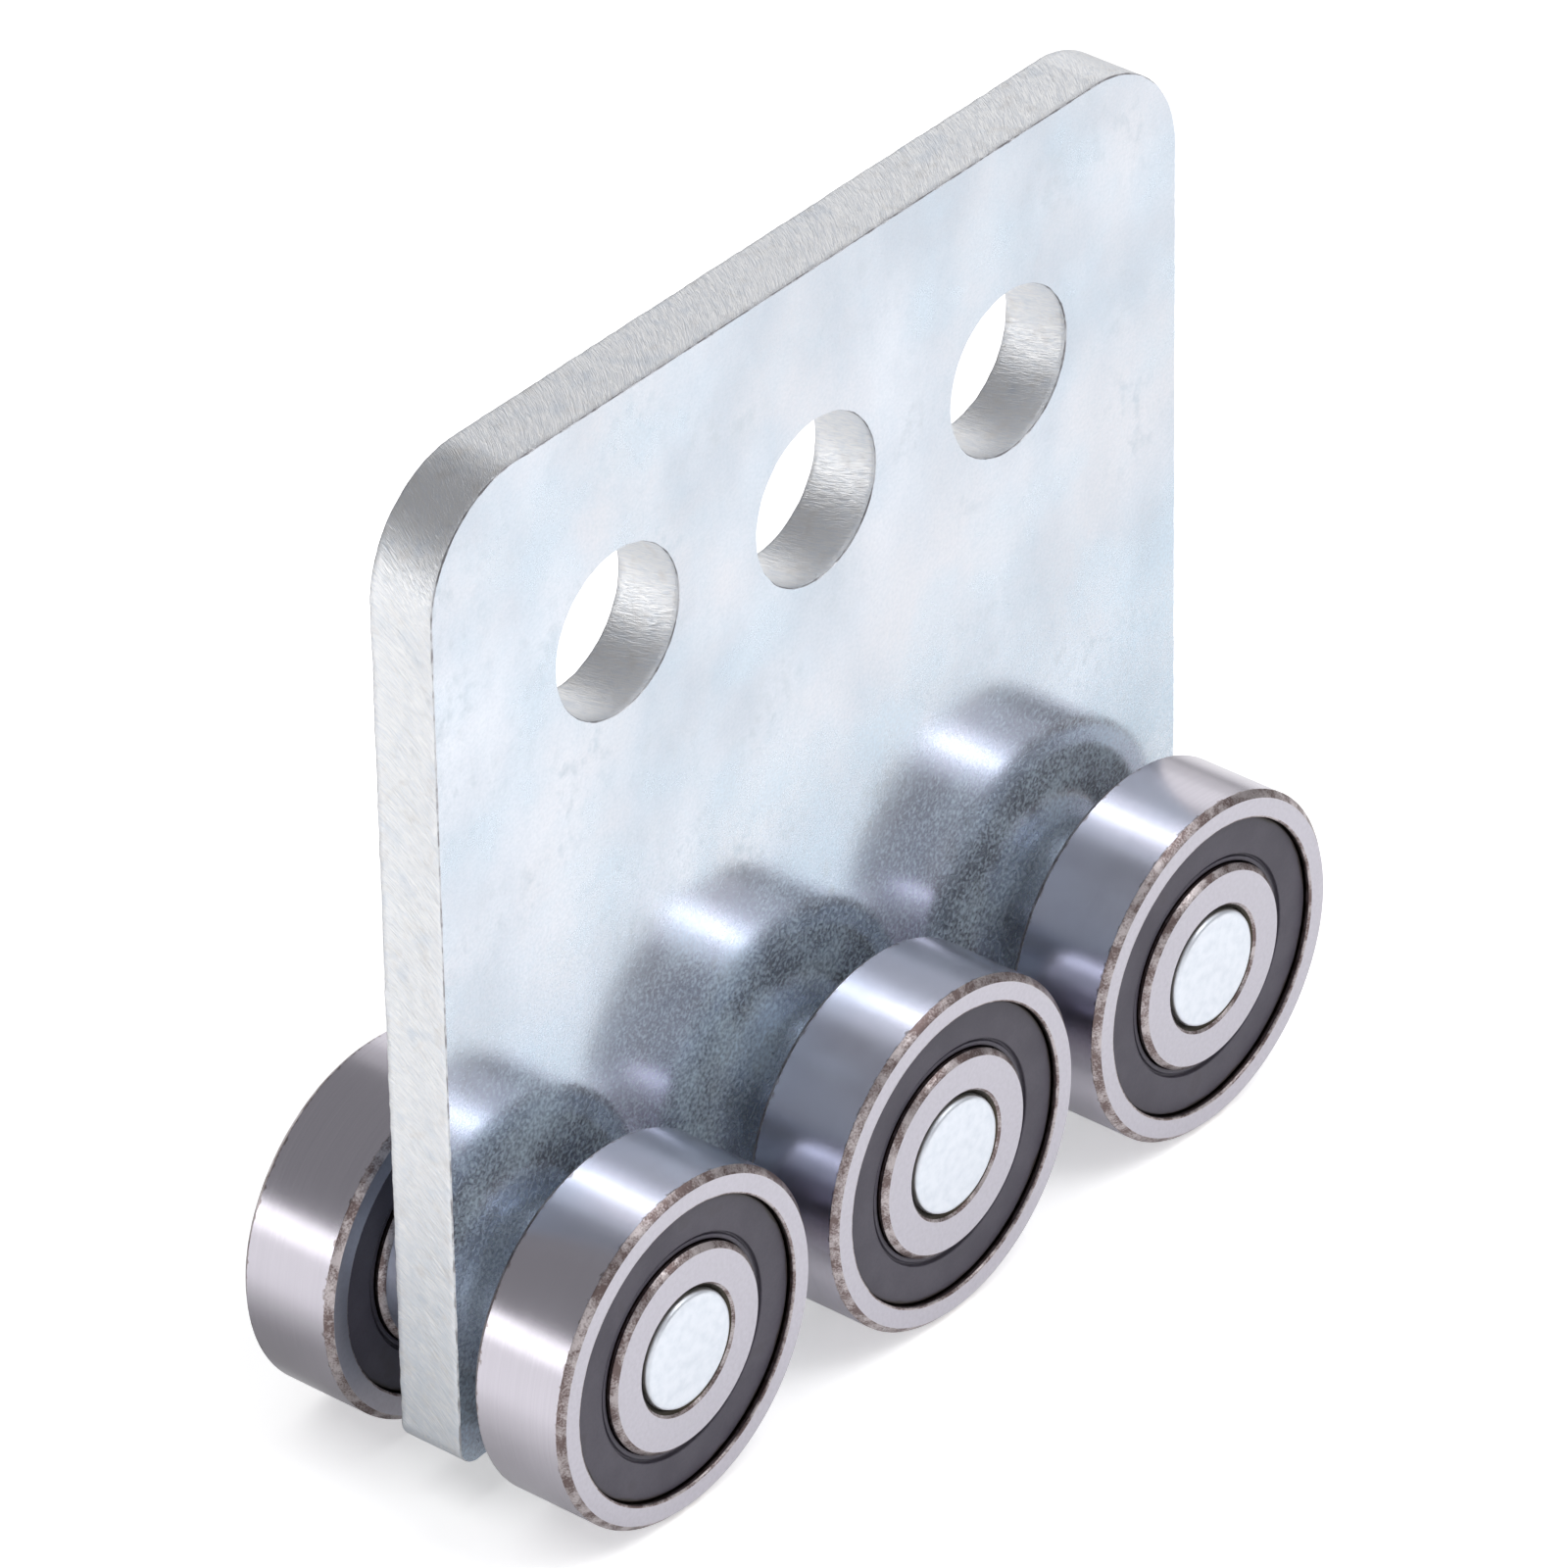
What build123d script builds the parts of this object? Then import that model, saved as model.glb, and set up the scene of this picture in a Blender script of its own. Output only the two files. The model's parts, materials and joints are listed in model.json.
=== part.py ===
from build123d import *
from math import acos, degrees, pi
import os

os.makedirs("parts", exist_ok=True)

# Trolley for a sliding door: a flat hanger plate on three cross axles, each with a sealed
# ball bearing at both ends. The bearings' outer rings are the wheels. The trolley stands on
# them: X runs along the track, Y through the plate, Z up from the running surface.

# Bearings, the standard 10 x 30 x 9 mm size
bearing_bore = 10.0
bearing_diameter = 30.0
bearing_width = 9.0
bearing_edge_chamfer = 0.55
bore_edge_chamfer = 0.6
inner_land_chamfer = 0.45

# Balls and raceways
ball_diameter = 4.762
ball_room = 2.6
race_clearance = 0.04
race_conformity = 0.52
inner_land_drop = 1.2
outer_land_drop = 1.6

# Riveted ribbon cage
cage_sheet = 0.4
cage_ribbon_width = 1.8
pocket_clearance = 0.06
rivet_diameter = 0.9
rivet_head_diameter = 1.5
rivet_head_height = 0.3

# Rubber seals
outer_rim_wall = 2.25
seal_recess = 0.6
seal_to_cage_gap = 0.36
seal_bead = 0.35
seal_bead_height = 0.45
seal_edge_relief = 0.05
seal_edge_round = 0.15
lip_clearance = 0.08
lip_width = 0.37
lip_recess = 0.18
lip_groove_width = 0.25
lip_groove_depth = 0.4

# Plate
plate_thickness = 6.0
plate_end_margin = 11.8
top_corner_radius = 10.0
bottom_corner_radius = 2.0
plate_edge_break = 0.2
track_clearance = 4.4
axle_to_bolt_row = 55.25
bolt_row_to_top = 20.55
bolt_hole_diameter = 14.2
bolt_hole_web = 9.3
bolt_hole_count = 3

# Axles and distance rings
wheel_gap = 2.7
axle_end_rounding = 0.45
axle_end_stand = 0.15
distance_ring_length = 4.1
distance_ring_wall = 2.0
distance_ring_chamfer = 0.3

# Sizes that follow
axle_radius = bearing_bore / 2
axle_height = bearing_diameter / 2
axle_pitch = bearing_diameter + wheel_gap
half_width = bearing_width / 2
bearing_offset = plate_thickness / 2 + distance_ring_length + half_width
axle_length = 2 * (bearing_offset + half_width + axle_end_stand)

ball_radius = ball_diameter / 2
pitch_radius = (bearing_bore + bearing_diameter) / 4
ball_count = int(2 * pi * pitch_radius / (ball_diameter + ball_room))
groove_radius = race_conformity * ball_diameter
inner_race_radius = pitch_radius - ball_radius - race_clearance
outer_race_radius = pitch_radius + ball_radius + race_clearance
inner_land_radius = pitch_radius - inner_land_drop
outer_land_radius = pitch_radius + outer_land_drop

pocket_radius = ball_radius + pocket_clearance
cage_height = pocket_radius + cage_sheet

seal_back = cage_height + seal_to_cage_gap
seal_face = half_width - seal_recess
rim_radius = bearing_diameter / 2 - outer_rim_wall
bead_radius = rim_radius + seal_bead
bead_top = seal_back + seal_bead_height

plate_width = 2 * (axle_pitch + plate_end_margin)
plate_bottom = track_clearance
bolt_row_height = axle_height + axle_to_bolt_row
plate_top = bolt_row_height + bolt_row_to_top
bolt_hole_pitch = bolt_hole_diameter + bolt_hole_web


def write(builder, name):
    builder.part.label = name
    export_step(builder.part, f"parts/{name}.step")


def wheel_plane(x, side, towards=1):
    """Across a bearing's middle, facing away from the plate, or towards it for -1."""
    return Plane(
        origin=(x, side * bearing_offset, axle_height),
        x_dir=(1, 0, 0),
        z_dir=(0, side * towards, 0),
    )


def section_plane(x, side, y=bearing_offset):
    """Holds a turned section: its X is the radius and its Y runs away from the plate."""
    return Plane(origin=(x, side * y, axle_height), x_dir=(1, 0, 0), z_dir=(0, 0, side))


def turning_axis(plane):
    return Axis(plane.origin, plane.y_dir)


def make_plate():
    with BuildPart() as plate:
        with BuildSketch(Plane.XZ):
            with Locations((0, (plate_bottom + plate_top) / 2)):
                Rectangle(plate_width, plate_top - plate_bottom)
            fillet(vertices().group_by(Axis.Y)[0], bottom_corner_radius)
            fillet(vertices().group_by(Axis.Y)[-1], top_corner_radius)
            with Locations((0, bolt_row_height)):
                with GridLocations(bolt_hole_pitch, 0, bolt_hole_count, 1):
                    Circle(bolt_hole_diameter / 2, mode=Mode.SUBTRACT)
            with Locations((0, axle_height)):
                with GridLocations(axle_pitch, 0, 3, 1):
                    Circle(axle_radius, mode=Mode.SUBTRACT)
        extrude(amount=plate_thickness / 2, both=True)
        chamfer(faces().filter_by(Axis.Y).edges(), plate_edge_break)
    write(plate, "hanger_plate")


def make_axle(x, name):
    with BuildPart(Plane(origin=(x, 0, axle_height), z_dir=(0, 1, 0))) as axle:
        Cylinder(axle_radius, axle_length)
        fillet(edges().filter_by(GeomType.CIRCLE), axle_end_rounding)
    write(axle, name)


def make_distance_ring(x, side, name):
    outer = axle_radius + distance_ring_wall
    seat = plate_thickness / 2
    plane = section_plane(x, side, seat)
    with BuildPart() as ring:
        with BuildSketch(plane):
            with Locations((axle_radius, 0)):
                Rectangle(outer - axle_radius, distance_ring_length, align=Align.MIN)
            chamfer(vertices().group_by(Axis.X)[-1], distance_ring_chamfer)
        revolve(axis=turning_axis(plane))
    write(ring, name)


def make_inner_ring(x, side, name):
    plane = section_plane(x, side)
    centre = inner_race_radius + groove_radius
    opening = degrees(acos((centre - inner_land_radius) / groove_radius))
    with BuildPart() as ring:
        with BuildSketch(plane):
            with BuildLine():
                race = CenterArc((centre, 0), groove_radius, 180, -opening)
                Polyline(
                    race @ 1,
                    (inner_land_radius, half_width - inner_land_chamfer),
                    (inner_land_radius - inner_land_chamfer, half_width),
                    (axle_radius + bore_edge_chamfer, half_width),
                    (axle_radius, half_width - bore_edge_chamfer),
                    (axle_radius, 0),
                )
                mirror(about=Plane.XZ)
            make_face()
        revolve(axis=turning_axis(plane))
    write(ring, name)


def make_outer_ring(x, side, name):
    plane = section_plane(x, side)
    centre = outer_race_radius - groove_radius
    opening = degrees(acos((outer_land_radius - centre) / groove_radius))
    outer_radius = bearing_diameter / 2
    with BuildPart() as ring:
        with BuildSketch(plane):
            with BuildLine():
                race = CenterArc((centre, 0), groove_radius, 0, opening)
                Polyline(
                    race @ 1,
                    (outer_land_radius, seal_back),
                    (bead_radius, seal_back),
                    (bead_radius, bead_top),
                    (rim_radius, bead_top),
                    (rim_radius, half_width - seal_edge_round),
                    (rim_radius + seal_edge_round, half_width),
                    (outer_radius - bearing_edge_chamfer, half_width),
                    (outer_radius, half_width - bearing_edge_chamfer),
                    (outer_radius, 0),
                )
                mirror(about=Plane.XZ)
            make_face()
        revolve(axis=turning_axis(plane))
    write(ring, name)


def make_seal(x, side, towards, name):
    plane = wheel_plane(x, side, towards)
    section = Plane(origin=plane.origin, x_dir=plane.x_dir, z_dir=(0, 0, side * towards))
    lip = inner_land_radius + lip_clearance
    lip_outer = lip + lip_width
    groove_outer = lip_outer + lip_groove_width
    lip_face = seal_face - lip_recess
    groove_floor = seal_face - lip_groove_depth
    edge = rim_radius - seal_edge_relief
    with BuildPart() as seal:
        with BuildSketch(section):
            with BuildLine():
                Polyline(
                    (lip, seal_back),
                    (lip, lip_face),
                    (lip_outer, lip_face),
                    (lip_outer, groove_floor),
                    (groove_outer, groove_floor),
                    (groove_outer, seal_face),
                    (edge - seal_edge_round, seal_face),
                    (edge, seal_face - seal_edge_round),
                    (edge, bead_top),
                    (bead_radius, bead_top),
                    (bead_radius, seal_back),
                    close=True,
                )
            make_face()
        revolve(axis=turning_axis(section))
    write(seal, name)


def make_balls(x, side, name):
    with BuildPart(wheel_plane(x, side)) as balls:
        with PolarLocations(pitch_radius, ball_count):
            Sphere(ball_radius)
    write(balls, name)


def make_cage_half(x, side, towards, name):
    inner = pitch_radius - cage_ribbon_width / 2
    outer = pitch_radius + cage_ribbon_width / 2
    rivet_angle = 180 / ball_count
    plane = wheel_plane(x, side, towards)
    with BuildPart(plane) as half:
        with BuildSketch(plane) as ribbon:
            Circle(outer)
            Circle(inner, mode=Mode.SUBTRACT)
        extrude(amount=cage_sheet)
        with PolarLocations(pitch_radius, ball_count):
            Sphere(cage_height)
        extrude(ribbon.sketch, amount=cage_height + cage_sheet, mode=Mode.INTERSECT)
        with PolarLocations(pitch_radius, ball_count):
            Sphere(pocket_radius, mode=Mode.SUBTRACT)
        with PolarLocations(pitch_radius, ball_count, start_angle=rivet_angle):
            Cylinder(rivet_diameter / 2, 4 * cage_sheet, mode=Mode.SUBTRACT)
    write(half, name)


def make_cage_rivets(x, side, name):
    rivet_angle = 180 / ball_count
    shank_radius = rivet_diameter / 2
    head_radius = rivet_head_diameter / 2
    head_place = cage_sheet + rivet_head_height / 2
    with BuildPart(wheel_plane(x, side)) as rivets:
        with PolarLocations(pitch_radius, ball_count, start_angle=rivet_angle):
            Cylinder(shank_radius, 2 * cage_sheet)
            with Locations((0, 0, head_place)):
                Cone(head_radius, shank_radius, rivet_head_height)
            with Locations((0, 0, -head_place)):
                Cone(shank_radius, head_radius, rivet_head_height)
    write(rivets, name)


make_plate()
for station, step in (("left", -1), ("middle", 0), ("right", 1)):
    x = step * axle_pitch
    make_axle(x, f"{station}_axle")
    for face, side in (("front", -1), ("rear", 1)):
        place = f"{face}_{station}"
        make_distance_ring(x, side, f"{place}_distance_ring")
        make_inner_ring(x, side, f"{place}_inner_ring")
        make_outer_ring(x, side, f"{place}_outer_ring")
        make_balls(x, side, f"{place}_balls")
        make_cage_half(x, side, 1, f"{place}_far_cage_half")
        make_cage_half(x, side, -1, f"{place}_near_cage_half")
        make_cage_rivets(x, side, f"{place}_cage_rivets")
        make_seal(x, side, 1, f"{place}_far_seal")
        make_seal(x, side, -1, f"{place}_near_seal")
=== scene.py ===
import json
import math
import bmesh
import bpy
from mathutils import Matrix, Vector, noise


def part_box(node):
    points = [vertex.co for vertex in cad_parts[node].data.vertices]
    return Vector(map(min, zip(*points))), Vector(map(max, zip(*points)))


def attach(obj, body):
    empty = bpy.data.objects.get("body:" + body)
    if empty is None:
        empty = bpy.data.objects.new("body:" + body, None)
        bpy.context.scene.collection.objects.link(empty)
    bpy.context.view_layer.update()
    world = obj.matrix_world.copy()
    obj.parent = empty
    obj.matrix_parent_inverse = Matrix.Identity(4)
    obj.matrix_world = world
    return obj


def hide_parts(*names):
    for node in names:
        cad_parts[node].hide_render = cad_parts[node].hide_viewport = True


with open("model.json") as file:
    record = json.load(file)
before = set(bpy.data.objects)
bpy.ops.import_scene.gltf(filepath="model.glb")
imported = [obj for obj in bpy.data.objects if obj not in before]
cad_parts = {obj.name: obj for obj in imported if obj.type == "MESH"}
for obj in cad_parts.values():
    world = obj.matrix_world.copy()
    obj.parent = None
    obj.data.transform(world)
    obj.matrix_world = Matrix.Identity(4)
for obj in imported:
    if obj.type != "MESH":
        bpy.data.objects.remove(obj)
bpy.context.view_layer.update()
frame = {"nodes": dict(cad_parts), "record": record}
mm = 0.001
stations = ("left", "middle", "right")
rows = {"front": -1, "rear": 1}         # the way along Y that each row of wheels faces
print("frame loaded:", len(frame["nodes"]), "nodes")


def node(tree, kind, wires=None, **settings):
    made = tree.nodes.new(kind)
    for name, value in settings.items():
        setattr(made, name, value)
    for name, value in (wires or {}).items():
        if isinstance(value, bpy.types.NodeSocket):
            tree.links.new(value, made.inputs[name])
        else:
            made.inputs[name].default_value = value
    return made


# Finishes, all placed by Object coordinates because every piece's object sits at the origin


def newFinish(name, **settings):
    material = bpy.data.materials.new(name)
    material.use_nodes = True
    tree = material.node_tree
    shader = tree.nodes["Principled BSDF"]
    for socket, value in settings.items():
        shader.inputs[socket].default_value = value
    place = node(tree, "ShaderNodeTexCoord").outputs["Object"]
    return material, tree, shader, place


def grain(tree, place, size, detail=3, stretch=(1, 1, 1), distortion=0.0):
    stretched = node(tree, "ShaderNodeMapping",
                     {"Vector": place, "Scale": [1 / (size * s) for s in stretch]})
    made = node(tree, "ShaderNodeTexNoise", {"Vector": stretched.outputs["Vector"], "Scale": 1.0,
                                             "Detail": detail, "Distortion": distortion})
    return made.outputs["Fac"]


def spread(tree, value, low, high, start=0.0, end=1.0):
    made = node(tree, "ShaderNodeMapRange", {"Value": value, "From Min": low, "From Max": high,
                                             "To Min": start, "To Max": end})
    return made.outputs["Result"]


def combine(tree, operation, first, second):
    made = node(tree, "ShaderNodeMath", operation=operation)
    for socket, value in zip(made.inputs, (first, second)):
        if isinstance(value, bpy.types.NodeSocket):
            tree.links.new(value, socket)
        else:
            socket.default_value = value
    return made.outputs[0]


def blendColours(tree, share, first, second):
    made = node(tree, "ShaderNodeMix", data_type="RGBA")
    for index, value in ((0, share), (6, first), (7, second)):
        if isinstance(value, bpy.types.NodeSocket):
            tree.links.new(value, made.inputs[index])
        else:
            made.inputs[index].default_value = value
    return made.outputs[2]


def combineVectors(tree, operation, first, second):
    made = node(tree, "ShaderNodeVectorMath", operation=operation)
    tree.links.new(first, made.inputs[0])
    tree.links.new(second, made.inputs[1])
    return made.outputs["Vector"]


def splitAxes(tree, vector):
    return node(tree, "ShaderNodeSeparateXYZ", {"Vector": vector}).outputs


def attribute(tree, name, output="Fac"):
    return node(tree, "ShaderNodeAttribute", attribute_name=name).outputs[output]


def bump(tree, shader, height, depth):
    made = node(tree, "ShaderNodeBump", {"Height": height, "Distance": depth})
    tree.links.new(made.outputs["Normal"], shader.inputs["Normal"])


rolledZinc = {
    "clean": (0.80, 0.83, 0.89, 1),
    "dull": (0.60, 0.645, 0.71, 1),
    "warm": (0.77, 0.77, 0.805, 1),
    "matt": (0.66, 0.85, 1.0, 1),
    "blue": (0.63, 0.725, 0.86, 1),
    "smudge": (0.60, 0.64, 0.69, 1),
    "cloudSize": 12 * mm,
    "tintSize": 22 * mm,
    "blueSize": 9 * mm,
    "blueHeight": (44 * mm, 34 * mm),   # from none to full: bluer and darker towards the bottom left
    "blueRight": (42 * mm, 12 * mm),
    "paintedShadeAlong": (-40 * mm, 45 * mm),  # painted shade: the coat is made duller to the right and to the top, where the plate mirrors dimmer floor
    "paintedShadeUp": (50 * mm, 90 * mm),
    "hazeSize": 8 * mm,
    "hazeShare": 0.25,
    "speckSize": 0.34 * mm,             # matt specks: they show where the plate mirrors something dark
    "speckHeight": (54 * mm, 34 * mm),
    "speckLeast": 0.11,
    "speckMost": 0.43,
    "grainDepth": 0.0035 * mm,
    "smudgeSize": 0.9 * mm,
    "smudgeSpread": 7 * mm,
    "least": 0.12,
    "most": 0.18,
}


def makeRolledZinc():
    look = rolledZinc
    material, tree, shader, place = newFinish("rolledZinc")
    clouds = grain(tree, place, look["cloudSize"], 6, (1, 1, 1.5))
    fine = grain(tree, place, look["speckSize"], 4)
    axes = splitAxes(tree, place)
    # painted shade: duller to the right and to the top, for the dimmer floor mirrored there
    paintedShade = combine(tree, "ADD", spread(tree, axes["X"], *look["paintedShadeAlong"], 0.0, 0.11),
                      spread(tree, axes["Z"], *look["paintedShadeUp"], 0.0, 0.14))
    tone = combine(tree, "ADD", clouds, paintedShade)
    base = blendColours(tree, spread(tree, tone, 0.42, 0.74), look["clean"], look["dull"])
    tint = spread(tree, grain(tree, place, look["tintSize"], 5, (0.7, 1, 1)), 0.48, 0.64, 0.0, 0.7)
    base = blendColours(tree, tint, base, look["warm"])
    low = combine(tree, "MULTIPLY", spread(tree, axes["Z"], *look["blueHeight"]),
                  spread(tree, axes["X"], *look["blueRight"]))
    patches = spread(tree, grain(tree, place, look["blueSize"], 5), 0.36, 0.60, 0.45, 0.95)
    base = blendColours(tree, combine(tree, "MULTIPLY", low, patches), base, look["blue"])
    marks = spread(tree, grain(tree, place, look["smudgeSize"], 4, (1, 1, 1.4)), 0.50, 0.68)
    where = spread(tree, grain(tree, place, look["smudgeSpread"], 3), 0.46, 0.66, 0.0, 0.9)
    base = blendColours(tree, combine(tree, "MULTIPLY", marks, where), base, look["smudge"])
    specks = combine(tree, "MULTIPLY", spread(tree, fine, 0.38, 0.66, look["speckLeast"], look["speckMost"]),
                     spread(tree, axes["Z"], *look["speckHeight"], 0.3, 1.0))
    haze = spread(tree, grain(tree, place, look["hazeSize"], 5), 0.46, 0.68, 0.0, look["hazeShare"])
    matt = combine(tree, "ADD", specks, haze)
    tree.links.new(blendColours(tree, matt, base, look["matt"]), shader.inputs["Base Color"])
    tree.links.new(combine(tree, "SUBTRACT", 1.0, matt), shader.inputs["Metallic"])
    tree.links.new(spread(tree, clouds, 0.35, 0.65, look["least"], look["most"]), shader.inputs["Roughness"])
    bump(tree, shader, fine, look["grainDepth"])
    return material


cutZinc = {
    "bright": (0.99, 0.995, 1.0, 1),
    "dull": (0.87, 0.90, 0.945, 1),
    # painted shade: the colour the cut walls take low down
    "low": (0.80, 0.845, 0.90, 1),
    "paintedShadeHeight": (32 * mm, 6 * mm),     # from none to full, as on the rolled faces: painted shade low on the cut walls, which mirror the shadowed floor
    "stains": {"brown": (0.78, 0.75, 0.72, 1), "blue": (0.70, 0.77, 0.86, 1)},
    "stainSize": 1.6 * mm,
    "streakSize": 0.16 * mm,
    "streakLength": 7,
    "streakDepth": 0.060 * mm,
}


def makeCutZinc():
    look = cutZinc
    material, tree, shader, place = newFinish("cutZinc", Metallic=1.0)
    trailed = combineVectors(tree, "ADD", place, attribute(tree, "drift", "Vector"))
    streaks = grain(tree, trailed, look["streakSize"], 4, (1, look["streakLength"], 1), 0.9)
    base = blendColours(tree, spread(tree, streaks, 0.40, 0.66), look["bright"], look["dull"])
    # painted shade: darker and bluer low on the cut walls, broken up by the striae
    low = combine(tree, "MULTIPLY", spread(tree, splitAxes(tree, place)["Z"], *look["paintedShadeHeight"]),
                  spread(tree, streaks, 0.38, 0.54, 0.1, 1.0))
    base = blendColours(tree, low, base, look["low"])
    for index, stain in enumerate(look["stains"].values()):
        size = look["stainSize"] * (1 + 0.4 * index)
        share = spread(tree, grain(tree, place, size, 3), 0.56, 0.74, 0.0, 0.42)
        base = blendColours(tree, share, base, stain)
    tree.links.new(base, shader.inputs["Base Color"])
    tree.links.new(spread(tree, streaks, 0.35, 0.65, 0.32, 0.46), shader.inputs["Roughness"])
    bump(tree, shader, streaks, look["streakDepth"])
    return material


arrisZinc = {"bright": (0.70, 0.71, 0.74, 1), "dark": (0.36, 0.35, 0.37, 1), "size": 1.3 * mm,
             "depth": 0.008 * mm}


def makeArrisZinc():
    look = arrisZinc
    material, tree, shader, place = newFinish("arrisZinc", Metallic=1.0, Roughness=0.45)
    worn = spread(tree, grain(tree, place, look["size"], 4), 0.44, 0.58)
    tree.links.new(blendColours(tree, worn, look["bright"], look["dark"]), shader.inputs["Base Color"])
    bump(tree, shader, grain(tree, place, look["size"] / 6, 2), look["depth"])
    return material


pinZinc = {"bright": (0.88, 0.92, 0.985, 1), "dull": (0.82, 0.865, 0.93, 1), "size": 0.9 * mm,
           "depth": 0.006 * mm}


def makePinZinc():
    look = pinZinc
    material, tree, shader, place = newFinish("pinZinc", Metallic=1.0)
    mottle = grain(tree, place, look["size"], 4)
    tree.links.new(blendColours(tree, spread(tree, mottle, 0.4, 0.66), look["bright"], look["dull"]),
                   shader.inputs["Base Color"])
    tree.links.new(spread(tree, mottle, 0.3, 0.7, 0.34, 0.5), shader.inputs["Roughness"])
    bump(tree, shader, mottle, look["depth"])
    return material


groundSteel = {
    "base": (0.67, 0.64, 0.70, 1),
    "soft": (0.63, 0.60, 0.66, 1),
    "unground": (0.16, 0.115, 0.10, 1),
    "spill": (0.30, 0.25, 0.24, 1),
    "spillStart": 3.5 * mm,             # from the ring's middle: the chamfer's scale creeps in from here on
    "spillEnd": 4.0 * mm,
    "spillSize": 0.7 * mm,
    "hazeSize": 5 * mm,
    "lineSize": 0.06 * mm,
    "lineLength": 300,
    "lineDepth": 0.0006 * mm,
    "rimReach": 13.3 * mm,              # inside this radius the ring's walls stay unground
}


def makeGroundSteel():
    look = groundSteel
    material, tree, shader, place = newFinish("groundSteel", Metallic=1.0)
    lines = grain(tree, place, look["lineSize"], 2, (look["lineLength"], 1, look["lineLength"]))
    haze = grain(tree, place, look["hazeSize"], 3)
    base = blendColours(tree, spread(tree, lines, 0.35, 0.65), look["base"], look["soft"])
    inside = combine(tree, "LESS_THAN", attribute(tree, "reach"), look["rimReach"])
    base = blendColours(tree, inside, base, look["unground"])
    fromMiddle = combine(tree, "ABSOLUTE", attribute(tree, "height"), 0.0)
    edge = spread(tree, fromMiddle, look["spillStart"], look["spillEnd"])
    creep = spread(tree, grain(tree, place, look["spillSize"], 4), 0.3, 0.7, -0.5, 0.5)
    scale = combine(tree, "ADD", edge, creep)
    base = blendColours(tree, spread(tree, scale, 0.75, 1.0, 0.0, 0.85), base, look["spill"])
    tree.links.new(base, shader.inputs["Base Color"])
    tree.links.new(spread(tree, haze, 0.3, 0.7, 0.20, 0.25), shader.inputs["Roughness"])
    bump(tree, shader, lines, look["lineDepth"])
    return material


roughChamfer = {
    "bright": (0.57, 0.515, 0.52, 1),
    "brown": (0.20, 0.15, 0.145, 1),
    # painted shade: near-black colour for the bore chamfer in the axle's shadow
    "boreShade": (0.07, 0.06, 0.045, 1),
    "boreShadeReach": 5.4 * mm,               # painted shade on the bore chamfer beside the axle, always in the dark
    "patchSize": 1.6 * mm,
    "speckSize": 0.16 * mm,
    "depth": 0.012 * mm,
}


def makeRoughChamfer():
    look = roughChamfer
    material, tree, shader, place = newFinish("roughChamfer", Metallic=1.0)
    patches = grain(tree, place, look["patchSize"], 3)
    specks = grain(tree, place, look["speckSize"], 3)
    both = combine(tree, "ADD", combine(tree, "MULTIPLY", patches, 0.65),
                   combine(tree, "MULTIPLY", specks, 0.35))
    base = blendColours(tree, spread(tree, both, 0.42, 0.57), look["bright"], look["brown"])
    # painted shade on the bore chamfer near the axle
    boreShade = combine(tree, "LESS_THAN", attribute(tree, "reach"), look["boreShadeReach"])
    tree.links.new(blendColours(tree, boreShade, base, look["boreShade"]), shader.inputs["Base Color"])
    tree.links.new(spread(tree, specks, 0.3, 0.7, 0.28, 0.5), shader.inputs["Roughness"])
    bump(tree, shader, specks, look["depth"])
    return material


turnedFace = {"base": (0.62, 0.60, 0.66, 1), "soft": (0.585, 0.565, 0.62, 1), "size": 0.35 * mm,
              "depth": 0.002 * mm}


def makeTurnedFace():
    look = turnedFace
    material, tree, shader, place = newFinish("turnedFace", Metallic=1.0)
    fine = grain(tree, place, look["size"], 4)
    tree.links.new(blendColours(tree, spread(tree, fine, 0.35, 0.7), look["base"], look["soft"]),
                   shader.inputs["Base Color"])
    tree.links.new(spread(tree, fine, 0.3, 0.7, 0.34, 0.44), shader.inputs["Roughness"])
    bump(tree, shader, fine, look["depth"])
    return material


sealRubber = {
    "base": (0.058, 0.052, 0.073, 1),
    "worn": (0.086, 0.078, 0.103, 1),
    "grimeAndShade": (0.030, 0.022, 0.019, 1),
    "grimeAndShadeStart": 12.25 * mm,           # radius from which dust and oil, with painted shade by the rim, darken the seal's seat
    "grimeAndShadeEnd": 12.65 * mm,
    "size": 0.22 * mm,
    "depth": 0.006 * mm,
}


def makeSealRubber():
    look = sealRubber
    material, tree, shader, place = newFinish("sealRubber")
    fine = grain(tree, place, look["size"], 3)
    wide = grain(tree, place, 16 * look["size"], 3)
    tone = combine(tree, "ADD", combine(tree, "MULTIPLY", fine, 0.5), combine(tree, "MULTIPLY", wide, 0.5))
    base = blendColours(tree, spread(tree, tone, 0.4, 0.62), look["base"], look["worn"])
    # dust and oil with painted shade: the seal darkens towards the outer ring's rim
    seat = spread(tree, attribute(tree, "reach"), look["grimeAndShadeStart"], look["grimeAndShadeEnd"])
    seat = combine(tree, "ADD", seat, spread(tree, wide, 0.3, 0.7, -0.4, 0.4))
    tree.links.new(blendColours(tree, spread(tree, seat, 0.3, 0.8), base, look["grimeAndShade"]),
                   shader.inputs["Base Color"])
    tree.links.new(spread(tree, fine, 0.3, 0.7, 0.42, 0.56), shader.inputs["Roughness"])
    bump(tree, shader, fine, look["depth"])
    return material


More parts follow.
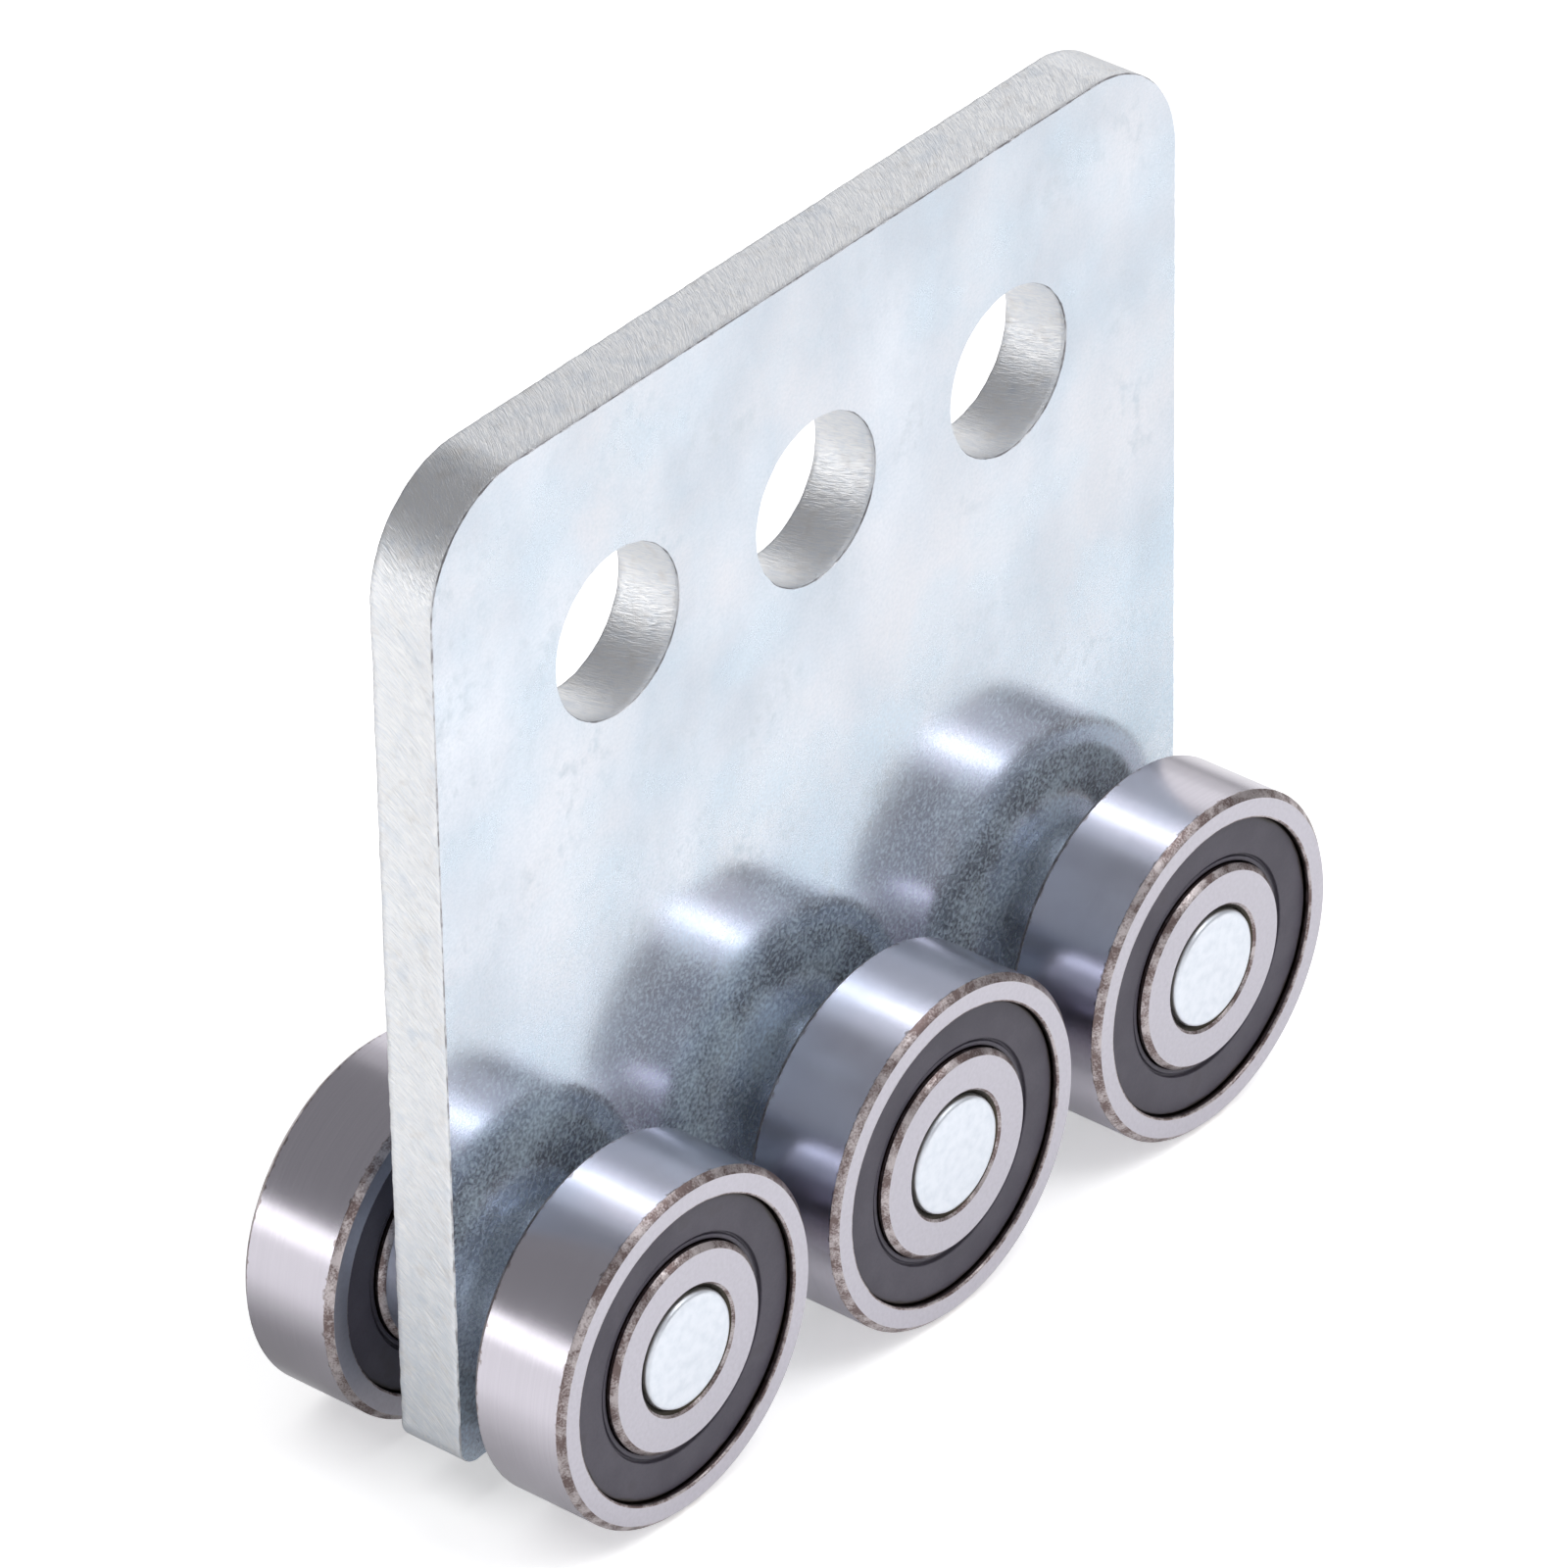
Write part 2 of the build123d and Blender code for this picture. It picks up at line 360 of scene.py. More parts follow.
hiddenDepth = 0.003 * mm
hiddenSteels = {
    "polishedBall": {"base": (0.74, 0.74, 0.76, 1), "soft": (0.68, 0.68, 0.70, 1), "size": 0.6 * mm,
                     "least": 0.05, "most": 0.10, "nodes": ("balls",)},
    "pressedCage": {"base": (0.62, 0.60, 0.58, 1), "soft": (0.50, 0.48, 0.46, 1), "size": 0.4 * mm,
                    "least": 0.26, "most": 0.42, "nodes": ("far_cage_half", "near_cage_half")},
    "rivetSteel": {"base": (0.66, 0.65, 0.64, 1), "soft": (0.52, 0.51, 0.50, 1), "size": 0.2 * mm,
                   "least": 0.22, "most": 0.36, "nodes": ("cage_rivets",)},
}


def makeHiddenSteel(name, look):
    material, tree, shader, place = newFinish(name, Metallic=1.0)
    tone = grain(tree, place, look["size"], 3)
    tree.links.new(blendColours(tree, spread(tree, tone, 0.35, 0.65), look["base"], look["soft"]),
                   shader.inputs["Base Color"])
    tree.links.new(spread(tree, tone, 0.3, 0.7, look["least"], look["most"]), shader.inputs["Roughness"])
    bump(tree, shader, tone, hiddenDepth)
    return material


finishes = {
    "rolledZinc": makeRolledZinc(),
    "cutZinc": makeCutZinc(),
    "arrisZinc": makeArrisZinc(),
    "pinZinc": makePinZinc(),
    "groundSteel": makeGroundSteel(),
    "roughChamfer": makeRoughChamfer(),
    "turnedFace": makeTurnedFace(),
    "sealRubber": makeSealRubber(),
}
for name, look in hiddenSteels.items():
    finishes[name] = makeHiddenSteel(name, look)
print("finishes made:", len(finishes))


# Geometry Nodes helpers


def newTree(name, inputs):
    tree = bpy.data.node_groups.new(name, "GeometryNodeTree")
    tree.interface.new_socket(name="Geometry", in_out="INPUT", socket_type="NodeSocketGeometry")
    tree.interface.new_socket(name="Geometry", in_out="OUTPUT", socket_type="NodeSocketGeometry")
    for label, kind in inputs.items():
        tree.interface.new_socket(name=label, in_out="INPUT", socket_type="NodeSocket" + kind)
    return tree, tree.nodes.new("NodeGroupInput").outputs


def growPiece(name, mesh, tree, values, evenNormals=True):
    holder = bpy.data.objects.new(name + ".guide", mesh)
    bpy.context.scene.collection.objects.link(holder)
    modifier = holder.modifiers.new(tree.name, "NODES")
    modifier.node_group = tree
    for item in tree.interface.items_tree:
        if item.in_out == "INPUT" and item.name in values:
            modifier[item.identifier] = values[item.name]
    if evenNormals:
        holder.modifiers.new("even normals", "WEIGHTED_NORMAL").keep_sharp = True
    depsgraph = bpy.context.evaluated_depsgraph_get()
    grown = bpy.data.meshes.new_from_object(holder.evaluated_get(depsgraph), depsgraph=depsgraph)
    grown.name = name
    bpy.data.objects.remove(holder)
    piece = bpy.data.objects.new(name, grown)
    bpy.context.scene.collection.objects.link(piece)
    return piece


# Turned pieces: a section of (radius, height, corner rounding) points spun round the axle


weldDistance = 0.0005 * mm
cornerSlopes = (0.15, 0.97)             # the least and most share of a corner's normal along the axle


def buildTurningTree():
    tree, given = newTree("turned piece", {
        "Segments": "Int", "Path Radius": "Float", "Centre": "Vector", "Facing": "Vector",
        "Side Finish": "Material", "Corner Finish": "Material", "End Finish": "Material",
    })
    section = node(tree, "GeometryNodeMeshToCurve", {"Mesh": given["Geometry"]})
    corner = node(tree, "GeometryNodeInputNamedAttribute", {"Name": "corner"}, data_type="FLOAT")
    rounded = node(tree, "GeometryNodeFilletCurve",
                   {"Curve": section.outputs["Curve"], "Radius": corner.outputs["Attribute"],
                    "Limit Radius": True, "Count": 2}, mode="POLY")
    inward = node(tree, "ShaderNodeCombineXYZ", {"X": combine(tree, "MULTIPLY", given["Path Radius"], -1.0)})
    shifted = node(tree, "GeometryNodeTransform",
                   {"Geometry": rounded.outputs["Curve"], "Translation": inward.outputs["Vector"]})
    path = node(tree, "GeometryNodeCurvePrimitiveCircle",
                {"Resolution": given["Segments"], "Radius": given["Path Radius"]})
    spun = node(tree, "GeometryNodeCurveToMesh",
                {"Curve": path.outputs["Curve"], "Profile Curve": shifted.outputs["Geometry"]})
    welded = node(tree, "GeometryNodeMergeByDistance",
                  {"Geometry": spun.outputs["Mesh"], "Distance": weldDistance})
    spot = splitAxes(tree, node(tree, "GeometryNodeInputPosition").outputs["Position"])
    flat = node(tree, "ShaderNodeCombineXYZ", {"X": spot["X"], "Y": spot["Y"]}).outputs["Vector"]
    fromAxle = node(tree, "ShaderNodeVectorMath", {0: flat}, operation="LENGTH").outputs["Value"]
    marked = node(tree, "GeometryNodeStoreNamedAttribute",
                  {"Geometry": welded.outputs["Geometry"], "Name": "reach", "Value": fromAxle},
                  data_type="FLOAT")
    marked = node(tree, "GeometryNodeStoreNamedAttribute",
                  {"Geometry": marked.outputs["Geometry"], "Name": "height", "Value": spot["Z"]},
                  data_type="FLOAT")
    smooth = node(tree, "GeometryNodeSetShadeSmooth", {"Geometry": marked.outputs["Geometry"]})
    stood = node(tree, "GeometryNodeTransform",
                 {"Geometry": smooth.outputs["Geometry"], "Translation": given["Centre"],
                  "Rotation": given["Facing"]})
    geometry = node(tree, "GeometryNodeRealizeInstances",
                    {"Geometry": stood.outputs["Geometry"]}).outputs["Geometry"]
    facing = splitAxes(tree, node(tree, "GeometryNodeInputNormal").outputs["Normal"])
    slope = combine(tree, "ABSOLUTE", facing["Y"], 0.0)
    least, most = cornerSlopes
    bands = (("Side Finish", -1.0, least), ("Corner Finish", least, most), ("End Finish", most, 2.0))
    for label, low, high in bands:
        above = combine(tree, "GREATER_THAN", slope, low)
        below = combine(tree, "LESS_THAN", slope, high)
        geometry = node(tree, "GeometryNodeSetMaterial",
                        {"Geometry": geometry, "Selection": combine(tree, "MULTIPLY", above, below),
                         "Material": given[label]}).outputs["Geometry"]
    node(tree, "NodeGroupOutput", {"Geometry": geometry})
    return tree


turningTree = buildTurningTree()


def sectionMesh(points, closed):
    mesh = bpy.data.meshes.new("section")
    edges = [(i, i + 1) for i in range(len(points) - 1)]
    if closed:
        edges.append((len(points) - 1, 0))
    mesh.from_pydata([(radius, height, 0) for radius, height, rounding in points], edges, [])
    corner = mesh.attributes.new("corner", "FLOAT", "POINT")
    corner.data.foreach_set("value", [rounding for radius, height, rounding in points])
    return mesh


def mirrored(half):
    return half + [(radius, -height, rounding) for radius, height, rounding in reversed(half)]


def turn(name, points, closed, centre, facing, looks, segments):
    radii = [radius for radius, height, rounding in points]
    side, cornerLook, end = looks
    values = {
        "Segments": segments, "Path Radius": (min(radii) + max(radii)) / 2, "Centre": centre,
        "Facing": (facing * math.radians(90), 0, 0), "Side Finish": finishes[side],
        "Corner Finish": finishes[cornerLook], "End Finish": finishes[end],
    }
    return growPiece(name, sectionMesh(points, closed), turningTree, values)


def finishPiece(piece, body, replaced):
    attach(piece, body)
    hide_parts(replaced)


# Bearings, whose outer rings are the wheels

bearing = {
    "halfWidth": 4.5 * mm,
    "chamfer": 0.55 * mm,
    "softEdge": 0.06 * mm,              # rounding that barrelling leaves on every ground edge
    "pitchRadius": 10 * mm,
    "grooveRadius": 2.476 * mm,
    "segments": 180,
    "racePoints": 6,
}
outerRing = {"raceRadius": 12.421 * mm, "landRadius": 11.6 * mm, "rimRadius": 12.75 * mm,
             "beadRadius": 13.1 * mm, "rimRound": 0.18 * mm}
innerRing = {"raceRadius": 7.579 * mm, "landRadius": 8.8 * mm, "landChamfer": 0.45 * mm,
             "boreRadius": 5 * mm, "boreChamfer": 0.6 * mm}
seal = {
    "back": 3.201 * mm, "face": 3.9 * mm, "beadTop": 3.651 * mm,
    "lipRadius": 8.88 * mm, "lipWidth": 0.37 * mm, "lipDrop": 0.18 * mm,
    "grooveWidth": 0.25 * mm, "grooveDrop": 0.4 * mm,
    "edgeRelief": 0.05 * mm, "edgeRound": 0.15 * mm,
}


def raceArc(centreRadius, towards, landRadius):
    groove = bearing["grooveRadius"]
    opening = math.acos(abs(landRadius - centreRadius) / groove)
    points = []
    for step in range(1, bearing["racePoints"] + 1):
        angle = opening * step / bearing["racePoints"]
        points.append((centreRadius + towards * groove * math.cos(angle), groove * math.sin(angle), 0))
    return points


def outerRingSection(outerRadius):
    ring, half, soft = outerRing, bearing["halfWidth"], bearing["softEdge"]
    points = raceArc(ring["raceRadius"] - bearing["grooveRadius"], 1, ring["landRadius"])
    points += [
        (ring["landRadius"], seal["back"], 0),
        (ring["beadRadius"], seal["back"], 0),
        (ring["beadRadius"], seal["beadTop"], 0),
        (ring["rimRadius"], seal["beadTop"], 0),
        (ring["rimRadius"], half, ring["rimRound"]),
        (outerRadius - bearing["chamfer"], half, soft),
        (outerRadius, half - bearing["chamfer"], soft),
    ]
    return mirrored(points)


def innerRingSection():
    ring, half, soft = innerRing, bearing["halfWidth"], bearing["softEdge"]
    points = raceArc(ring["raceRadius"] + bearing["grooveRadius"], -1, ring["landRadius"])
    points += [
        (ring["landRadius"], half - ring["landChamfer"], soft),
        (ring["landRadius"] - ring["landChamfer"], half, soft),
        (ring["boreRadius"] + ring["boreChamfer"], half, soft),
        (ring["boreRadius"], half - ring["boreChamfer"], soft),
    ]
    return mirrored(points)[::-1]


def sealSection():
    soft = bearing["softEdge"]
    lipOuter = seal["lipRadius"] + seal["lipWidth"]
    grooveOuter = lipOuter + seal["grooveWidth"]
    edge = outerRing["rimRadius"] - seal["edgeRelief"]
    return [
        (seal["lipRadius"], seal["back"], 0),
        (seal["lipRadius"], seal["face"] - seal["lipDrop"], soft),
        (lipOuter, seal["face"] - seal["lipDrop"], soft),
        (lipOuter, seal["face"] - seal["grooveDrop"], 0),
        (grooveOuter, seal["face"] - seal["grooveDrop"], 0),
        (grooveOuter, seal["face"], 2 * soft),
        (edge, seal["face"], seal["edgeRound"]),
        (edge, seal["beadTop"], 0),
        (outerRing["beadRadius"], seal["beadTop"], 0),
        (outerRing["beadRadius"], seal["back"], 0),
    ]


def makeBearing(row, station):
    place = f"{row}_{station}"
    low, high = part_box(f"{place}_outer_ring")
    centre = (low + high) / 2
    centre.z = sum(c.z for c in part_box(f"{station}_axle")) / 2
    away = rows[row]
    steel = ("groundSteel", "roughChamfer", "turnedFace")
    outer = turn(f"outerRing.{place}", outerRingSection((high.x - low.x) / 2), True, centre, away,
                 steel, bearing["segments"])
    finishPiece(outer, f"{place}_wheel", f"{place}_outer_ring")
    inner = turn(f"innerRing.{place}", innerRingSection(), True, centre, away, steel, bearing["segments"])
    finishPiece(inner, "frame", f"{place}_inner_ring")
    for end, towards in (("far", 1), ("near", -1)):
        rubber = turn(f"seal.{place}.{end}", sealSection(), True, centre, away * towards,
                      ("sealRubber",) * 3, bearing["segments"])
        finishPiece(rubber, f"{place}_wheel", f"{place}_{end}_seal")


for row in rows:
    for station in stations:
        makeBearing(row, station)
print("bearings turned:", len(rows) * len(stations))


# Axles and their distance rings

axle = {"endRound": 0.45 * mm, "segments": 96}
distanceRing = {"edge": 0.3 * mm, "segments": 96}

for station in stations:
    low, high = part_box(f"{station}_axle")
    centre = (low + high) / 2
    radius, half = (high.z - low.z) / 2, (high.y - low.y) / 2
    points = mirrored([(0, half, 0), (radius, half, axle["endRound"])])
    pin = turn(f"axle.{station}", points, False, centre, -1, ("pinZinc",) * 3, axle["segments"])
    finishPiece(pin, "frame", f"{station}_axle")
    for row in rows:
        low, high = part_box(f"{row}_{station}_distance_ring")
        centre.y = (low.y + high.y) / 2
        half, outer = (high.y - low.y) / 2, (high.z - low.z) / 2
        points = mirrored([(radius, half, 0), (outer, half, distanceRing["edge"])])
        points = [points[3], points[0], points[1], points[2]]
        ring = turn(f"distanceRing.{row}_{station}", points, True, centre, -1, ("pinZinc",) * 3,
                    distanceRing["segments"])
        finishPiece(ring, "frame", f"{row}_{station}_distance_ring")
print("axles and distance rings turned:", len(stations))


# Hanger plate, cut by laser: its cut walls carry striae that run through the thickness

hangerPlate = {
    "topRound": 10 * mm,
    "bottomRound": 2 * mm,
    "cutStep": 0.14 * mm,
    "rowsAcross": 10,
    "arrisLeast": 0.05 * mm,
    "arrisMost": 0.17 * mm,
    "arrisSize": 1.1 * mm,
    "axleHoleStep": 0.5 * mm,
    "edgeLag": 4.5 * mm,                # how far the striae trail the beam at the front face
    "holeLag": -1.4 * mm,
    "lagCurve": 1.3,                    # over 1, so that the striae bend most near the front face
    "sharpAngle": math.radians(38),
}
striae = {"Stria Pitch": 0.30 * mm, "Stria Length": 12.0, "Stria Depth": 0.03 * mm,
          "Wave Pitch": 5 * mm, "Wave Depth": 0.05 * mm}


def arcPoints(centre, radius, start, turnAngle, step, hollow=False):
    count = max(3, math.ceil(abs(turnAngle) * radius / step))
    found = []
    for i in range(count):
        angle = start + turnAngle * i / count
        outward = Vector((math.cos(angle), math.sin(angle)))
        found.append((centre + radius * outward, -outward if hollow else outward))
    return found


def plateOutline(low, high, look):
    quarter = math.pi / 2
    corners = [
        (low.x, low.z, 1, 1, look["bottomRound"], 2 * quarter),
        (high.x, low.z, -1, 1, look["bottomRound"], 3 * quarter),
        (high.x, high.z, -1, -1, look["topRound"], 0.0),
        (low.x, high.z, 1, -1, look["topRound"], quarter),
    ]
    arcs = [arcPoints(Vector((x + sx * r, z + sz * r)), r, start, quarter, look["cutStep"])
            for x, z, sx, sz, r, start in corners]
    outline = []
    for arc, following in zip(arcs, arcs[1:] + arcs[:1]):
        outline += arc
        begin = arc[-1][0]
        end = following[0][0]
        count = max(1, round((end - begin).length / look["cutStep"]))
        for i in range(1, count):
            outline.append((begin.lerp(end, i / count), following[0][1]))
    return outline


def addWall(mesh, layers, outline, half, lag, look):
    outward, drift, share, zone = layers
    steps = look["rowsAcross"]
    levels = [-half] + [half * (2 * i / steps - 1) for i in range(steps + 1)] + [half]
    rings = []
    for index, level in enumerate(levels):
        rim = index in (0, len(levels) - 1)
        beside = index in (1, len(levels) - 2)
        ring = []
        for point, direction in outline:
            where = Vector((point.x, point.y, level)) / look["arrisSize"]
            worn = 0.5 + 0.5 * noise.fractal(where, 0.9, 2.1, 3)
            worn = look["arrisLeast"] + (look["arrisMost"] - look["arrisLeast"]) * min(1, max(0, worn))
            inset = point - direction * worn if rim else point
            depth = level - math.copysign(worn, level) if beside else level
            vertex = mesh.verts.new((inset.x, depth, inset.y))
            vertex[outward] = (direction.x, 0, direction.y)
            trail = lag * (0.5 - depth / (2 * half)) ** look["lagCurve"]
            vertex[drift] = (direction.y * trail, 0, -direction.x * trail)
            vertex[share] = 0.0 if rim else 1.0
            ring.append(vertex)
        rings.append(ring)
    for index, (ring, following) in enumerate(zip(rings, rings[1:])):
        for i in range(len(ring)):
            face = mesh.faces.new((ring[i - 1], ring[i], following[i], following[i - 1]))
            face[zone] = 2 if index in (0, len(rings) - 2) else 1
    return rings[0], rings[-1]


def plateBlank(low, high):
    look = hangerPlate
    half = (high.y - low.y) / 2
    bolts = next(m for m in frame["record"]["mounts"] if m["name"] == "outer_bolt_pair")
    boltRadius = bolts["dims"]["hole_r_mm"] * mm
    boltReach = bolts["dims"]["spacing_x_mm"] * mm / 2
    loops = [(plateOutline(low, high, look), look["edgeLag"])]
    for x in (-boltReach, 0, boltReach):
        hole = arcPoints(Vector((x, bolts["pos_m"][2])), boltRadius, 0, 2 * math.pi, look["cutStep"], True)
        loops.append((hole, look["holeLag"]))
    for station in stations:
        axleLow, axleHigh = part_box(f"{station}_axle")
        middle = (axleLow + axleHigh) / 2
        hole = arcPoints(Vector((middle.x, middle.z)), (axleHigh.z - axleLow.z) / 2, 0, 2 * math.pi,
                         look["axleHoleStep"], True)
        loops.append((hole, look["holeLag"]))
    blank = bmesh.new()
    layers = (blank.verts.layers.float_vector.new("outward"), blank.verts.layers.float_vector.new("drift"),
              blank.verts.layers.float.new("share"), blank.faces.layers.int.new("zone"))
    brims = [addWall(blank, layers, loop, half, lag, look) for loop, lag in loops]
    for face, normal in ((0, (0, -1, 0)), (1, (0, 1, 0))):
        brim = []
        for pair in brims:
            ring = pair[face]
            brim += [blank.edges.get((ring[i - 1], ring[i])) for i in range(len(ring))]
        bmesh.ops.triangle_fill(blank, use_beauty=True, use_dissolve=False, edges=brim, normal=normal)
    bmesh.ops.recalc_face_normals(blank, faces=blank.faces)
    for face in blank.faces:
        face.smooth = True
    mesh = bpy.data.meshes.new("plate blank")
    blank.to_mesh(mesh)
    blank.free()
    return mesh


def buildStriaeTree():
    tree, given = newTree("cut striae", {
        "Stria Pitch": "Float", "Stria Length": "Float", "Stria Depth": "Float",
        "Wave Pitch": "Float", "Wave Depth": "Float",
        "Flat Finish": "Material", "Cut Finish": "Material", "Arris Finish": "Material",
    })
    place = node(tree, "GeometryNodeInputPosition").outputs["Position"]
    along = combine(tree, "DIVIDE", 1.0, given["Stria Length"])
    stretch = node(tree, "ShaderNodeCombineXYZ", {"X": 1.0, "Y": along, "Z": 1.0}).outputs["Vector"]
    drift = node(tree, "GeometryNodeInputNamedAttribute", {"Name": "drift"}, data_type="FLOAT_VECTOR")
    trailed = combineVectors(tree, "ADD", place, drift.outputs["Attribute"])
    drawn = combineVectors(tree, "MULTIPLY", trailed, stretch)
    striaScale = combine(tree, "DIVIDE", 1.0, given["Stria Pitch"])
    stria = node(tree, "ShaderNodeTexNoise", {"Vector": drawn, "Scale": striaScale,
                                              "Detail": 2.0, "Distortion": 0.5}).outputs["Fac"]
    waveScale = combine(tree, "DIVIDE", 1.0, given["Wave Pitch"])
    wave = node(tree, "ShaderNodeTexNoise",
                {"Vector": place, "Scale": waveScale, "Detail": 1.0}).outputs["Fac"]
    depth = combine(tree, "ADD", combine(tree, "MULTIPLY", stria, given["Stria Depth"]),
                    combine(tree, "MULTIPLY", wave, given["Wave Depth"]))
    share = node(tree, "GeometryNodeInputNamedAttribute", {"Name": "share"}, data_type="FLOAT")
    outward = node(tree, "GeometryNodeInputNamedAttribute", {"Name": "outward"}, data_type="FLOAT_VECTOR")
    inset = combine(tree, "MULTIPLY", combine(tree, "MULTIPLY", depth, share.outputs["Attribute"]), -1.0)
    offset = node(tree, "ShaderNodeVectorMath", {"Scale": inset}, operation="SCALE")
    tree.links.new(outward.outputs["Attribute"], offset.inputs[0])
    moved = node(tree, "GeometryNodeSetPosition", {"Geometry": given["Geometry"],
                                                   "Offset": offset.outputs["Vector"]})
    geometry = node(tree, "GeometryNodeRealizeInstances",
                    {"Geometry": moved.outputs["Geometry"]}).outputs["Geometry"]
    zone = node(tree, "GeometryNodeInputNamedAttribute", {"Name": "zone"},
                data_type="INT").outputs["Attribute"]
    for label, number in (("Flat Finish", 0), ("Cut Finish", 1), ("Arris Finish", 2)):
        here = combine(tree, "COMPARE", zone, float(number))
        here.node.inputs[2].default_value = 0.1
        geometry = node(tree, "GeometryNodeSetMaterial", {"Geometry": geometry, "Selection": here,
                                                          "Material": given[label]}).outputs["Geometry"]
    node(tree, "NodeGroupOutput", {"Geometry": geometry})
    return tree


plateLow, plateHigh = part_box("hanger_plate")
striae.update({"Flat Finish": finishes["rolledZinc"], "Cut Finish": finishes["cutZinc"],
               "Arris Finish": finishes["arrisZinc"]})
plate = growPiece("hangerPlate", plateBlank(plateLow, plateHigh), buildStriaeTree(), striae,
                  evenNormals=False)
plate.data.set_sharp_from_angle(angle=hangerPlate["sharpAngle"])
finishPiece(plate, "frame", "hanger_plate")
print("hanger plate cut:", len(plate.data.polygons), "faces")


# What the sealed bearings hide keeps its CAD form

for name, look in hiddenSteels.items():
    for row in rows:
        for station in stations:
            for part in look["nodes"]:
                frame["nodes"][f"{row}_{station}_{part}"].material_slots[0].material = finishes[name]
print("hidden steels finished")


# Stage: a pale floor that shows white to the camera, glows a little to metal and takes the shadow

stageLook = {
    "reach": 6.0,
    "paper": (0.93, 0.93, 0.93, 1),
    "cameraGlow": 0.42,
    "glossGlow": 0.12,
    "shadeFrom": (-73 * mm, -54 * mm),  # painted shadow: metal sees the paper darker close to the left wheels
    "shadeTo": (-44 * mm, -36 * mm),
    "shadeAcross": (-5 * mm, 19 * mm),
    "shadeLeast": 0.38,
    "shadeMost": 0.70,
}


def makeStage():
    look = stageLook
    material = bpy.data.materials.new("studioPaper")
    material.use_nodes = True
    tree = material.node_tree
    shader = tree.nodes["Principled BSDF"]
    shader.inputs["Roughness"].default_value = 0.9
    shader.inputs["Specular IOR Level"].default_value = 0.0
    shader.inputs["Emission Color"].default_value = (1, 1, 1, 1)
    rays = node(tree, "ShaderNodeLightPath").outputs
    shine = combine(tree, "MAXIMUM", rays["Is Glossy Ray"], rays["Is Transmission Ray"])
    seen = combine(tree, "MULTIPLY", rays["Is Camera Ray"], look["cameraGlow"])
    glow = combine(tree, "ADD", seen, combine(tree, "MULTIPLY", shine, look["glossGlow"]))
    tree.links.new(glow, shader.inputs["Emission Strength"])
    axes = splitAxes(tree, node(tree, "ShaderNodeTexCoord").outputs["Object"])
    # painted shadow on the paper, seen by glossy rays only
    near = combine(tree, "MULTIPLY", spread(tree, axes["X"], *look["shadeFrom"]),
                   spread(tree, axes["X"], *look["shadeTo"], 1.0, 0.0))
    across = spread(tree, axes["Y"], *look["shadeAcross"], look["shadeLeast"], look["shadeMost"])
    shade = combine(tree, "MULTIPLY", combine(tree, "MULTIPLY", near, across), rays["Is Glossy Ray"])
    tree.links.new(blendColours(tree, shade, look["paper"], (0, 0, 0, 1)), shader.inputs["Base Color"])
    reach = look["reach"]
    mesh = bpy.data.meshes.new("floor")
    mesh.from_pydata([(-reach, -reach, 0), (reach, -reach, 0), (reach, reach, 0), (-reach, reach, 0)], [],
                     [(0, 1, 2, 3)])
    mesh.materials.append(material)
    floor = bpy.data.objects.new("floor", mesh)
    bpy.context.scene.collection.objects.link(floor)


makeStage()

surround = {"level": 0.275, "tint": (0.97, 0.97, 1.0)}


def makeSurround():
    world = bpy.data.worlds.new("studio")
    bpy.context.scene.world = world
    world.use_nodes = True
    tree = world.node_tree
    rays = node(tree, "ShaderNodeLightPath").outputs
    dim = (*[surround["level"] * channel for channel in surround["tint"]], 1)
    tree.links.new(blendColours(tree, rays["Is Camera Ray"], dim, (1, 1, 1, 1)),
                   tree.nodes["Background"].inputs["Color"])


makeSurround()

